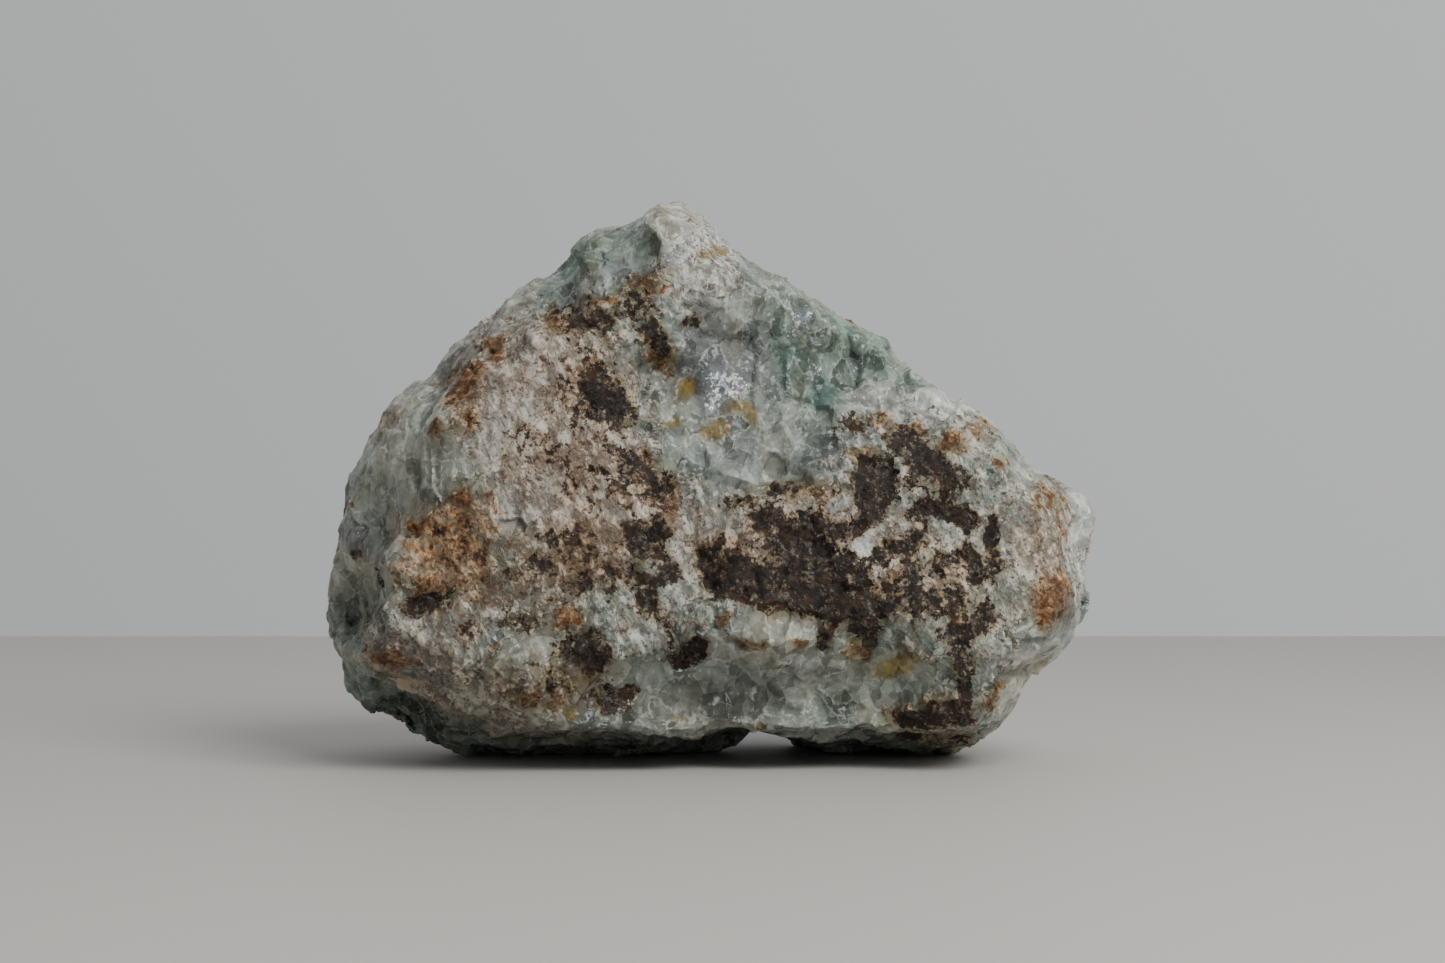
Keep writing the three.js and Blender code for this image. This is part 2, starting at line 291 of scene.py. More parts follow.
# %% Ledges and hollows
LEDGES = (
    (10, 13, 30, 7.5, 2, -2.6),
    (34, 13, 10, 6, 10, -2.0),
    (-2, 24, 24, 3, 2, 1.0),
    (-66, 10, 9, 6, -25, -3.0),
    (-76, 33, 5, 7.5, 0, -3.2),
    (-70, 21.5, 9, 3, -12, 1.6),
    (-62, 33.5, 5.5, 3, 20, -2.6),
    (0, 80, 13, 14, 20, -2.4),
    (8, 66, 10, 7, -30, -1.6),
    (22, 82, 9, 9, -30, -2.2),
    (22, 77, 4, 4.5, 0, -2.2),
    (42, 66, 16, 8, -12, 1.3),
    (35, 57, 4.4, 6.3, 0, -0.8),
    (20, 42, 14, 7, -25, -1.2),
    (4.6, 38, 8, 5, 0, -0.9),
    (-24, 76, 6, 7.5, 0, -1.0),
    (31, 41.5, 6, 5, 0, 0.8),
    (66, 20, 6, 5, 30, -2.0),
    (46.7, 7.7, 8.4, 4.2, 0, -0.9),
    (-20, 106, 9, 6, 25, -1.6),
    (-14, 99, 12, 3, 25, 1.2),
    (-69, 60, 9, 16, 0, -1.2),
    (-5.8, 20.8, 4, 2.3, 15, -0.9),
)

RIM_MOVES = (
    (-6, 119, 6, -0.2),
    (8, 108, 7, -1.6),
    (20, 100, 6, -1.0),
    (41, 88, 5, -1.3),
    (58, 77, 6, -0.6),
    (63, 66, 5, 1.2),
    (84, 45, 5, -1.0),
    (84, 47, 3, 1.0),
    (84, 34, 9, -3.0),
    (69, 15, 5, -1.2),
    (74, 20, 5, -0.6),
    (66, 6, 8, -1.4),
    (-29, 109, 5, 1.2),
    (-38, 102, 5, 1.0),
    (-49, 93, 7, 1.5),
    (-58, 86, 5, 0.8),
    (-70, 74, 8, 1.6),
    (-81, 18, 8, -0.3),
    (-72, 8, 7, 0.2),
    (-80, 60, 7, 1.0),
    (-83, 45, 9, -1.0),
)
TO_THE_FRONT = (0, -1.5, 0)
FOOT_HEIGHT = 12
FOOT_RAISED = 5.2

sight = looked_at(lump.data)
print("share of the surface that faces the camera:", round(float((sight.front > 0.5).mean()), 2))
lift = lay(sight, np.zeros(len(sight.place), np.float32), LEDGES)
heading = sight.normal + np.array(TO_THE_FRONT) * sight.front[:, None]
heading /= np.linalg.norm(heading, axis=1)[:, None]
rim = ramp(1 - np.abs(sight.normal[:, 1]), 0.1, 0.6)
rim_lift = np.zeros(len(sight.place), np.float32)
for x, z, reach, push in RIM_MOVES:
    rim_lift += push * rim * np.exp(
        -((sight.place[:, 0] - x) ** 2 + (sight.place[:, 2] - z) ** 2) / reach**2
    )
moved = sight.place + heading * lift[:, None] + sight.normal * rim_lift[:, None]
low = 1 - ramp(moved[:, 2], 0, FOOT_HEIGHT)
moved[:, 2] += FOOT_RAISED * low * ramp(-moved[:, 1], -6, 24)
lump.data.vertices.foreach_set("co", (moved * MM).astype(np.float32).ravel())
lump.data.update()
sight = looked_at(lump.data)
print(
    "ledges and hollows move points by",
    round(float(lift.min()), 1), "to", round(float(lift.max()), 1), "mm",
)

# %% [markdown]
# ### Crust or bare grains
#
# The stone has two skins: a sugary quartz crust, and bare fluorite that broke along its crystal grains.
# This layer is 1 where the crust lies and 0 where the grains are bare. It decides both the relief and the
# finish, so the two always agree. On the sides that the camera doesn't see, slow noise lays the crust in
# islands.

# %% Crust or glassy grains
CRUST = (
    (-32, 76, 22, 20, 0, 1, 1),
    (-27, 52, 25, 22, 0, 1, 1),
    (-53, 40, 14, 15, 0, 1, 1),
    (-60, 25, 15, 7, -8, 1, 1),
    (-16, 34, 20, 13, 0, 1, 1),
    (-15, 93, 16, 10, 20, 1, 0.95),
    (-3, 103, 9, 14, -35, 1, 0.8),
    (20, 44, 34, 13, -8, 1, 1),
    (44, 62, 19, 13, -12, 1, 1),
    (54, 38, 16, 20, 0, 1, 1),
    (50, 14, 11, 14, 0, 1, 1),
    (71, 44, 9, 15, 0, 1, 0.8),
    (-45, 13, 20, 8, -5, 1, 0.45),
    (-43, 49, 3, 1.8, 0, 0, 0.9),
    (-41, 25, 7, 4, 0, 0, 0.45),
    (-23, 30, 7, 5, 0, 0, 0.35),
    (-1, 84, 14, 14, 0, 0, 1),
    (3, 66, 13, 9, -25, 0, 1),
    (27, 86, 18, 14, -30, 0, 1),
    (8, 13, 34, 8.5, 2, 0, 1),
    (36, 16, 14, 6, 10, 0, 0.9),
)
BACK_CRUST_FROM = 0.35
BACK_CRUST_FULL = 0.9

hidden = 1 - sight.front
back_wave = wander(sight.place, 60, 11) + wander(sight.place, 22, 12) * 0.5
hidden_crust = ramp(back_wave, BACK_CRUST_FROM, BACK_CRUST_FULL)
crust = lay(sight, hidden_crust * hidden * 0.8, CRUST)

# %% [markdown]
# ### Tints
#
# Fluorite is green in some zones and nearly colourless in others, and the crust runs from white to tan. A
# texture painted by hand could hold this. A dozen named tones, laid as soft ovals, do the same with less:
# the same few tones come back all over the stone, and a change to one of them reaches every patch that
# uses it.
#
# The tones are base colours in linear light, so they look darker as numbers than they do on a screen.

# %% Tints of the two kinds
PALE_GREEN = (0.26, 0.30, 0.26)
LEAF_GREEN = (0.15, 0.22, 0.17)
TEAL = (0.05, 0.12, 0.10)
DEEP_GREEN = (0.05, 0.07, 0.05)
GREY = (0.22, 0.24, 0.24)
SMOKE = (0.14, 0.15, 0.13)
OLIVE = (0.20, 0.17, 0.08)
CREAM = (0.55, 0.52, 0.42)
FROST = (0.65, 0.66, 0.62)
BEIGE = (0.42, 0.35, 0.28)
SAND = (0.45, 0.32, 0.20)
UMBER = (0.20, 0.15, 0.10)

# First the peak and the left skyline, then the left end, the crust, the bay, the green slope,
# the pale ledge, the right end and the foot.
TINTS = (
    (-8, 115, 6, 4, -20, CREAM, 0.8),
    (-2, 106, 8, 9, -30, FROST, 0.8),
    (-21, 110, 10, 4, 20, LEAF_GREEN, 0.8),
    (-28, 106, 5, 3, 45, LEAF_GREEN, 0.9),
    (-34, 102, 6, 3, 40, LEAF_GREEN, 0.8),
    (-24, 103, 9, 2.5, 30, GREY, 0.8),
    (-43, 96, 8, 5, 42, CREAM, 0.5),
    (-54, 87, 8, 4, 45, GREY, 0.5),
    (-63, 78, 8, 5, 45, CREAM, 0.4),
    (-71, 71, 5, 3, 50, SAND, 0.5),
    (-68, 65, 8, 6, 0, CREAM, 0.4),
    (-60, 60, 9, 7, 0, SMOKE, 0.4),
    (-76, 58, 4, 9, 0, PALE_GREEN, 0.6),
    (-73, 47, 6, 6, 0, GREY, 0.5),
    (-72, 39, 5, 5, 0, UMBER, 0.6),
    (-76, 31, 6, 8, 0, DEEP_GREEN, 0.6),
    (-75, 15, 6, 6, -30, LEAF_GREEN, 0.6),
    (-63, 9, 9, 4, -25, DEEP_GREEN, 0.9),
    (-53, 6, 4, 4, 0, PALE_GREEN, 0.6),
    (-65, 15, 14, 1.6, -28, SAND, 0.6),
    (-64, 24, 10, 5, 0, BEIGE, 0.6),
    (-50, 16, 13, 5, -15, UMBER, 0.5),
    (-34, 14, 13, 6, 0, UMBER, 0.7),
    (-45, 6, 8, 3, -10, UMBER, 0.5),
    (-32, 4, 9, 3, 0, BEIGE, 0.5),
    (-36, 78, 20, 16, 0, BEIGE, 0.9),
    (-44, 68, 6, 8, 0, FROST, 0.3),
    (-28, 56, 21, 14, 0, BEIGE, 0.9),
    (-24, 62, 10, 6, 0, UMBER, 0.45),
    (-59, 45, 10, 9, 0, BEIGE, 0.8),
    (-53, 46, 4, 8, 0, UMBER, 0.35),
    (-38, 39, 14, 9, 0, UMBER, 0.5),
    (-25, 42, 9, 8, 0, UMBER, 0.5),
    (-45, 53, 6, 4, 0, GREY, 0.5),
    (-45, 27, 10, 5, 0, GREY, 0.4),
    (-8, 44, 4, 12, 0, FROST, 0.5),
    (-13, 27, 8, 4, 0, FROST, 0.4),
    (1, 84, 13, 12, 0, GREY, 0.9),
    (-10, 82, 6, 7, 0, SMOKE, 0.7),
    (-6, 79, 3, 3, 0, OLIVE, 0.7),
    (0, 98, 8, 6, -20, FROST, 0.6),
    (5, 67, 14, 8, -10, GREY, 0.6),
    (25, 64, 6, 5, 0, GREY, 0.6),
    (26, 89, 16, 9, -35, LEAF_GREEN, 0.6),
    (12, 101, 6, 4, -20, PALE_GREEN, 0.5),
    (33, 90, 10, 3, -35, LEAF_GREEN, 0.8),
    (16, 84, 3.5, 6, 0, TEAL, 0.8),
    (24, 78, 4, 4, 0, TEAL, 0.8),
    (40, 81, 6, 3, -25, LEAF_GREEN, 0.7),
    (43, 75, 11, 4, -8, FROST, 0.8),
    (52, 78, 7, 2, -35, FROST, 0.7),
    (58, 68, 6, 6, 0, CREAM, 0.6),
    (63, 66, 4, 3, -50, LEAF_GREEN, 0.4),
    (61, 59, 5, 5, 0, PALE_GREEN, 0.7),
    (25, 43, 30, 13, -8, BEIGE, 0.8),
    (33, 42, 6, 5, 0, FROST, 0.8),
    (27, 54, 5, 3, 0, FROST, 0.5),
    (45, 56, 5, 2, 0, FROST, 0.5),
    (58, 36, 13, 14, 0, CREAM, 0.5),
    (68, 57, 8, 5, 0, CREAM, 0.7),
    (70, 46, 6, 8, 0, SAND, 0.5),
    (73, 34, 5, 7, 0, SAND, 0.7),
    (79, 46, 4, 14, 0, FROST, 0.7),
    (66, 25, 7, 6, 0, FROST, 0.5),
    (69, 18, 6, 4, 35, BEIGE, 0.5),
    (63, 11, 4, 6, 0, CREAM, 0.5),
    # Along the foot the tints grow darker towards the bottom: partly the smoky glass's own tone, partly
    # painted shade on the underside.
    (6, 14, 11, 7, 0, SMOKE, 0.7),
    (-14, 9, 9, 7, 0, SMOKE, 0.8),
    (-26, 6, 3, 4, 0, DEEP_GREEN, 0.5),
    (20, 19, 8, 3, 5, GREY, 0.6),
    (37, 19, 8, 3, 10, OLIVE, 0.4),
    (45, 19, 4, 3, 0, SMOKE, 0.6),
    (28, 11, 5, 3, 20, DEEP_GREEN, 0.8),
    (17, 8, 8, 4, 0, SMOKE, 0.6),
    (22, 2, 14, 2, 0, GREY, 0.6),
)
SIDE_SPREAD = 0.5

sides = np.tile(np.array(PALE_GREEN), (len(sight.place), 1))
for colour, length, seed in ((LEAF_GREEN, 45, 21), (SMOKE, 30, 22), (GREY, 38, 23), (CREAM, 34, 24)):
    share = ramp(wander(sight.place, length, seed), 0.1, 1.0)[:, None] * SIDE_SPREAD
    sides += (np.array(colour) - sides) * share
sides += (np.array(BEIGE) - sides) * (crust * hidden)[:, None]
tint = lay(sight, sides, TINTS)

# %% [markdown]
# ### Iron
#
# Water carried iron into the cracks and pits of the crust. Where much of it settled it is nearly black,
# with a rusty rim, and a thin film of it on bare grains is yellow ochre. So there are three layers:
# brown, rust and ochre. A fourth holds painted highlights: spots where white glints are painted into
# the colour, where crystal faces would throw the window's light back.
#
# On the sides the ovals would smear into stripes, since they are laid on from the front. There the stains
# fade out, and noise takes their place.

# %% Iron: brown patches, rust and ochre
BROWN = (
    (-28.5, 94, 4.5, 3.6, 10, 1, 0.85),
    (-22.5, 92.5, 3.6, 3.2, -10, 1, 0.75),
    (-16, 97.5, 3.4, 3.2, 0, 1, 0.62),
    (-4.6, 93, 2.2, 2, 0, 1, 0.6),
    (-10.7, 88.5, 1.7, 3.4, 25, 1, 0.7),
    (-13, 92, 3, 3, 0, 1, 0.55),
    (-24.5, 77, 5.8, 5.2, 15, 1, 0.9),
    (-20.5, 72, 4, 3.6, 0, 1, 0.75),
    (-17, 62, 4, 4, 0, 1, 0.6),
    (-12, 58, 3.5, 5, 10, 1, 0.55),
    (-16.5, 48.5, 2.6, 2.4, 0, 1, 0.9),
    (-11.6, 47.6, 2.8, 3.2, 0, 1, 0.9),
    (-15.4, 44, 2.2, 3.6, 15, 1, 0.9),
    (-11.4, 43.6, 2.6, 1.6, 0, 1, 0.85),
    (-9.4, 38.8, 2.4, 2.4, 30, 1, 1),
    (-12.6, 37.2, 3, 1.6, 0, 1, 0.95),
    (-16.8, 37.6, 1.8, 2.4, 0, 1, 0.8),
    (-14, 33.2, 2.4, 2, 20, 1, 0.95),
    (-12.6, 31, 2.2, 1.8, 0, 1, 0.85),
    (-9, 26, 1.2, 3.4, 10, 1, 0.45),
    (-22.4, 37.6, 1.6, 4, 5, 1, 0.7),
    (-25.6, 42, 2.4, 2, -30, 1, 0.55),
    (-28, 47, 3.4, 2, -25, 1, 0.5),
    (-33.5, 46.4, 3.5, 2, 0, 1, 0.45),
    (-29, 36, 2.4, 2.6, 0, 1, 0.5),
    (-36, 41, 3.6, 2, 0, 1, 0.5),
    (-42, 38.6, 3, 1.4, -20, 1, 0.5),
    (-43.4, 28.8, 1.8, 1.8, 0, 1, 0.8),
    (-39.4, 28.4, 1.6, 2.2, 0, 1, 0.75),
    (-27.4, 25, 3.6, 2.4, 0, 1, 0.85),
    (-24, 22.4, 2, 4.2, 0, 1, 0.8),
    (-29.4, 21.4, 3.6, 2, -25, 1, 0.8),
    (-62, 32.4, 5, 2.2, 20, 1, 1),
    (-52, 27, 3, 1.6, 0, 1, 0.5),
    (-5.2, 21.8, 4.4, 2, 15, 1, 0.9),
    (-3.4, 23, 1.8, 2.4, -20, 1, 0.9),
    (-21.6, 11.6, 3.8, 3, 0, 1, 0.8),
    (-18.4, 13.4, 3, 1.4, 20, 1, 0.8),
    (34.8, 55.4, 4.6, 3.8, 0, 1, 1),
    (34.2, 60.4, 3.8, 4, 0, 1, 1),
    (37.4, 59.6, 2, 4.6, 0, 1, 1),
    (44.2, 65, 6.4, 3.2, -38, 1, 1),
    (41.4, 67, 2, 2.8, 0, 1, 1),
    (47.6, 62, 2.6, 2.6, 0, 1, 0.95),
    (50.6, 58.6, 5, 3.6, -20, 1, 0.58),
    (43.6, 58.6, 2, 1.8, 0, 1, 0.6),
    (46, 53.4, 3.6, 1.9, 18, 1, 1),
    (51.4, 51.8, 4, 1.6, -8, 1, 0.95),
    (55.2, 50.2, 1.8, 2.6, 0, 1, 0.9),
    (44.6, 49, 1.6, 3, -15, 1, 0.6),
    (36.6, 42.4, 2.8, 1.8, 35, 1, 0.95),
    (40.4, 44.6, 4.2, 1.9, 15, 1, 1),
    (43.4, 39.8, 1.8, 1.8, 0, 1, 0.9),
    (43, 33.6, 1.8, 3.4, 0, 1, 1),
    (49.6, 34, 3, 3, 0, 1, 0.55),
    (53, 31.6, 2.4, 2, 0, 1, 0.7),
    (50.6, 42, 2, 1.6, 0, 1, 0.6),
    (60.2, 46, 1.6, 4.4, 0, 1, 0.95),
    (57.4, 39.4, 2.6, 3, 0, 1, 0.9),
    (54.4, 43.6, 2.4, 2, 20, 1, 0.55),
    (60.8, 40.4, 1.4, 2.6, 0, 1, 0.7),
    (58.8, 30.4, 2.4, 2.8, 20, 1, 1),
    (56.6, 27.4, 2.8, 2, 20, 1, 0.95),
    (52.8, 26, 3, 2.4, 0, 1, 0.85),
    (53.4, 20.4, 2.4, 4.4, 0, 1, 0.85),
    (54, 14.4, 1.8, 3.6, 0, 1, 0.85),
    (51.6, 8.4, 4.6, 3.4, 0, 1, 1),
    (44.4, 7.2, 5, 3.2, 8, 1, 1),
    (54.6, 6, 2.2, 2.8, 0, 1, 0.9),
    (11.4, 50.4, 3.2, 3.6, 0, 1, 0.95),
    (16.4, 48.6, 4.4, 3.8, 10, 1, 1),
    (23, 50.4, 3, 2.8, 0, 1, 0.95),
    (19.6, 45.4, 5.4, 4, -30, 1, 1),
    (25, 42, 4, 5.6, 25, 1, 1),
    (20.6, 39.6, 4.6, 4.4, 0, 1, 1),
    (28.4, 48.2, 3, 2, 10, 1, 0.95),
    (32.8, 49.8, 3.4, 1.8, 30, 1, 0.95),
    (16.4, 35.4, 4.4, 3, 0, 1, 0.9),
    (13.4, 31.4, 3, 2, 0, 1, 0.6),
    (22.4, 33.4, 4.6, 3, -10, 1, 1),
    (28, 33, 5, 3.4, -10, 1, 1),
    (34, 31.4, 4, 3, -15, 1, 0.9),
    (38.4, 32.6, 2.2, 1.4, 0, 1, 0.7),
    (32.6, 37.4, 1.6, 2.6, 10, 1, 0.85),
    (33.4, 26.6, 2.4, 3.2, 10, 1, 0.95),
    (31.4, 28.4, 1.8, 2.4, -20, 1, 0.8),
    (24.8, 25.6, 1.4, 3.2, -18, 1, 1),
    (1, 39, 3.8, 4.6, 0, 1, 0.9),
    (6.4, 40.4, 4.4, 3.2, 0, 1, 0.88),
    (6, 36, 5, 2.8, 0, 1, 0.88),
    (11.4, 38, 3, 2.4, -15, 1, 0.8),
    (-1.6, 43, 2, 2, 0, 1, 0.6),
    (2, 45.4, 0.9, 2.2, -20, 1, 0.8),
    (14, 57.2, 2.6, 1.8, 0, 1, 0.9),
    (17.6, 56.6, 1.8, 1.8, 0, 1, 0.75),
    (3.6, 53.8, 2.2, 1.8, 0, 1, 0.75),
    (7.4, 54.6, 2, 1.2, 0, 1, 0.55),
    (26, 57.2, 2, 1.6, 0, 1, 0.6),
    (30, 71, 4, 2, 20, 1, 0.6),
    (46, 38, 12, 9, 0, 1, 0.36),
    (-28, 41, 13, 9, 0, 1, 0.22),
    (-27, 84, 8, 5, 0, 1, 0.26),
    (-22, 58, 12, 7, 0, 1, 0.24),
    (-36, 68, 13, 9, 0, 1, 0.22),
    (-45, 31, 13, 8, 0, 1, 0.12),
    (-30, 19, 12, 6, 0, 1, 0.25),
    (22, 37, 17, 8, -14, 1, 0.42),
    (29, 37, 4, 4, 0, 1, 0.7),
    (-54, 45, 8, 10, 0, 1, 0.3),
    (-76, 43.2, 1.2, 1.2, 0, 1, 0.85),
)
RUST = (
    (-46, 87.3, 2.2, 3.8, 0, 1, 0.85),
    (-54.3, 79.2, 4.2, 4.4, 0, 1, 0.75),
    (-59.2, 70.4, 1.6, 2, 0, 1, 0.9),
    (-53.3, 71, 3.6, 2.6, 0, 1, 0.65),
    (-51, 81.3, 2.6, 2, 0, 1, 0.7),
    (-24.3, 97.6, 5, 1.5, 15, 1, 0.65),
    (-34, 93, 1.8, 2.4, 0, 1, 0.95),
    (-13.4, 101, 4, 2.2, 10, 1, 0.9),
    (-10.7, 87, 3, 4.6, 25, 1, 0.75),
    (-55, 48, 9, 10, 0, 1, 0.5),
    (-53.9, 51.4, 1.8, 6, 0, 1, 0.8),
    (-60, 40, 9, 10, 0, 1, 0.36),
    (-50, 38, 3, 8, 0, 1, 0.4),
    (-50, 22, 14, 6, 0, 1, 0.25),
    (-63, 50, 3, 2, 20, 1, 0.75),
    (-69.7, 20.8, 5, 2.3, -10, 1, 0.8),
    (-78.7, 55.9, 1.6, 3.5, 0, 1, 0.7),
    (-72, 69.6, 3, 1.1, 15, 1, 0.65),
    (-30.3, 29.1, 4, 2.5, 0, 1, 0.7),
    (-8.9, 54.2, 2.5, 5, 0, 1, 0.55),
    (31.3, 22.5, 3, 2.3, 0, 1, 0.85),
    (18.7, 23.6, 2.5, 1.4, 0, 1, 0.65),
    (2.4, 29.5, 2, 2, 0, 1, 0.65),
    (7, 24, 5, 1.1, -12, 1, 0.7),
    (60.2, 11.6, 2, 2.2, 0, 1, 0.95),
    (61.3, 14.8, 1.8, 1.4, 0, 1, 0.9),
    (10.5, 4.9, 1.8, 1.6, 30, 1, 0.75),
    (58, 70.4, 3, 2.6, 0, 1, 0.55),
    (62, 63, 2, 2, 0, 1, 0.5),
    (37.3, 72.6, 2.6, 2, 0, 1, 0.6),
    (41.8, 69.4, 4.2, 1.5, 10, 1, 0.85),
    (52, 66.6, 3, 3, 0, 1, 0.8),
    (32.4, 64.4, 3.6, 1.7, 0, 1, 0.85),
    (73.3, 33.4, 4.2, 6, 0, 1, 0.8),
    (71.8, 55.9, 3, 3.8, 0, 1, 0.7),
    (75, 47.5, 1.8, 6, 0, 1, 0.5),
    (20, 57, 7, 2.5, 0, 1, 0.55),
    (2, 43, 9, 7, 0, 1, 0.25),
    (-30, 42, 13, 9, 0, 1, 0.3),
    (46.7, 8, 9, 5, 0, 1, 0.6),
    (-38, 12, 6, 3, 0, 1, 0.4),
)
OCHRE = (
    (-5.3, 79.2, 2, 2.5, 0, 1, 0.9),
    (-8.5, 71.5, 2, 1.4, 20, 1, 0.85),
    (0.7, 70.4, 3.2, 2, 0, 1, 0.95),
    (8.4, 73.2, 1.4, 3.4, 30, 1, 0.85),
    (4.6, 74.7, 2.5, 1.6, 0, 1, 0.75),
    (0.3, 107.9, 3.6, 1.6, 10, 1, 0.9),
    (-10.2, 117.3, 1.6, 2, -20, 1, 0.95),
    (39, 19.3, 6, 1.9, 20, 1, 0.85),
    (-29, 16.5, 8, 3, 0, 1, 0.5),
    (-40, 12, 1.6, 1.5, 0, 1, 0.7),
    (-30.3, 9.4, 2, 1.5, 0, 1, 0.7),
    (-7.5, 7.3, 2, 1.2, 0, 1, 0.65),
)
# Painted highlights: where white glints are painted into the colour, in place of window light thrown back by
# crystal faces.
PAINTED_GLINTS = (
    (19.4, 93, 2.6, 2.8, 0, 1, 1),
    (17, 89.6, 1.4, 1.4, 0, 1, 0.5),
    (3.4, 80, 3.6, 4, 0, 1, 1),
    (0, 76, 2, 2.6, 0, 1, 0.8),
    (8, 81, 2.4, 2.4, 0, 1, 0.45),
    (-1, 82, 1.2, 1.6, 0, 1, 0.5),
    (31, 83.6, 1.8, 1.2, 0, 1, 0.8),
    (23.6, 83, 0.8, 1.8, 0, 1, 0.6),
    (5, 68, 1.6, 1.2, 0, 1, 0.3),
    (-11.6, 70, 0.8, 2.4, 10, 1, 0.4),
    (-36, 98, 1.6, 1.4, 0, 1, 0.5),
    (-48, 76, 0.7, 1.6, 0, 1, 0.6),
    (81, 51, 2.4, 4, 0, 1, 0.4),
)
BACK_STAIN_FROM = 0.75
BACK_STAIN_FULL = 1.5
SIDE_RAGGED = 0.2
STAIN_FROM = 0.0
STAIN_FULL = 0.38

back_wave = wander(sight.place, 26, 31) + 0.5 * wander(sight.place, 9, 32)
hidden_stain = ramp(back_wave, BACK_STAIN_FROM, BACK_STAIN_FULL) * hidden * 0.55
turned_away = sight.facing + wander(sight.place, 14, 33) * SIDE_RAGGED
stained = sight._replace(front=ramp(turned_away, STAIN_FROM, STAIN_FULL))
brown = lay(stained, hidden_stain * (hidden_crust > 0.3), BROWN, STAIN_CORE, STAIN_EDGE)
rust = lay(stained, hidden_stain.copy(), RUST, STAIN_CORE, STAIN_EDGE)
ochre = lay(stained, np.zeros(len(sight.place), np.float32), OCHRE, STAIN_CORE, STAIN_EDGE)
# The plan of the painted highlights.
painted_glint = lay(sight, np.zeros(len(sight.place), np.float32), PAINTED_GLINTS)
keep("grown", sight.place * MM)
keep("tint", tint)
keep("crust", crust)
keep("brown", brown)
keep("rust", rust)
keep("ochre", ochre)
keep("painted_glint", painted_glint)

# %% [markdown]
# ## One recipe for shape and colour
#
# A grain should have its own tone and its own face, and both must end at the same line. Blender's Voronoi
# node cuts space into cells and gives the same cells in Geometry Nodes as in a material. So one small helper
# writes the formulas for both kinds of node tree, and both read the place that a point had before the
# relief moved it, which is kept in the attribute named grown.

# %% Node formulas
Cell = namedtuple("Cell", "colour centre")


class Recipe:
    """Writes a node tree as short formulas. A value is a number, a tuple or the output of another node."""

    def __init__(self, tree):
        self.tree = tree

    def node(self, kind, *values, **settings):
        made = self.tree.nodes.new(kind)
        for name, value in settings.items():
            setattr(made, name, value)
        for socket, value in zip(made.inputs, values):
            self.feed(socket, value)
        return made

    def feed(self, socket, value):
        if isinstance(value, bpy.types.NodeSocket):
            self.tree.links.new(value, socket)
        elif value is not None:
            socket.default_value = value

    def calc(self, operation, *values, limited=False):
        return self.node("ShaderNodeMath", *values, operation=operation, use_clamp=limited).outputs[0]

    def vector(self, operation, *values):
        made = self.node("ShaderNodeVectorMath", *values, operation=operation)
        number = operation in ("DOT_PRODUCT", "LENGTH", "DISTANCE")
        return made.outputs["Value" if number else "Vector"]

    def scaled(self, vector, factor):
        made = self.node("ShaderNodeVectorMath", vector, operation="SCALE")
        self.feed(made.inputs["Scale"], factor)
        return made.outputs["Vector"]

    def total(self, first, *others):
        for other in others:
            first = self.calc("ADD", first, other)
        return first

    def times(self, first, *others):
        for other in others:
            first = self.calc("MULTIPLY", first, other)
        return first

    def ramp(self, value, low, high, start=0.0, end=1.0):
        made = self.node("ShaderNodeMapRange", value, low, high, start, end, interpolation_type="SMOOTHSTEP")
        return made.outputs["Result"]

    def blend(self, share, a, b):
        made = self.node("ShaderNodeMix", data_type="FLOAT")
        for socket, value in zip((made.inputs[0], made.inputs[2], made.inputs[3]), (share, a, b)):
            self.feed(socket, value)
        return made.outputs[0]

    def mixed(self, share, a, b, way="MIX"):
        made = self.node("ShaderNodeMix", data_type="RGBA", blend_type=way)
        for socket, value in zip((made.inputs[0], made.inputs[6], made.inputs[7]), (share, a, b)):
            self.feed(socket, (*value, 1) if isinstance(value, tuple) and len(value) == 3 else value)
        return made.outputs[2]

    def noise(self, place, size, detail=4.0, rough=0.55, twist=0.0):
        made = self.node("ShaderNodeTexNoise")
        for name, value in (
            ("Vector", place), ("Scale", 1 / size),
            ("Detail", detail), ("Roughness", rough), ("Distortion", twist)
        ):
            self.feed(made.inputs[name], value)
        return made.outputs[0]

    def chance(self, place, size, detail=5.0, rough=0.6):
        """Noise stretched to fill 0 to 1 evenly, for deciding what shows where."""
        return self.ramp(self.noise(place, size, detail, rough), 0.32, 0.68)

    def bent(self, place, size, amount):
        """A place moved about by soft noise, so that what is drawn from it has no straight lines."""
        made = self.node("ShaderNodeTexNoise")
        for name, value in (("Vector", place), ("Scale", 1 / size), ("Detail", 2.0)):
            self.feed(made.inputs[name], value)
        swing = self.vector("SUBTRACT", made.outputs["Color"], (0.5, 0.5, 0.5))
        return self.vector("ADD", place, self.scaled(swing, amount))

    def cell(self, place, size, feature="F1"):
        made = self.node("ShaderNodeTexVoronoi", feature=feature)
        self.feed(made.inputs["Vector"], place)
        self.feed(made.inputs["Scale"], 1 / size)
        return made

    def grain(self, place, size):
        made = self.cell(place, size)
        return Cell(made.outputs["Color"], made.outputs["Position"])

    def seam(self, place, size):
        """How far a place is from the edge of its grain: 0 on the edge, about 0.3 in the middle."""
        return self.cell(place, size, "DISTANCE_TO_EDGE").outputs["Distance"]

    def face(self, place, grain, slope):
        """The height of a flat face on each grain, leaning its own way."""
        lean = self.vector("SUBTRACT", grain.colour, (0.5, 0.5, 0.5))
        return self.times(
            self.vector("DOT_PRODUCT", lean, self.vector("SUBTRACT", place, grain.centre)), 2 * slope
        )


print("recipe ready")

# %% [markdown]
# ## Relief
#
# The glassy grains are small lumps with flat, leaning tops and grooves between them. The crust stands a
# little proud of them, is rough like sugar, and is pitted where it holds iron. The heights are added up in a
# Geometry Nodes tree, which moves each point of the net along its normal.

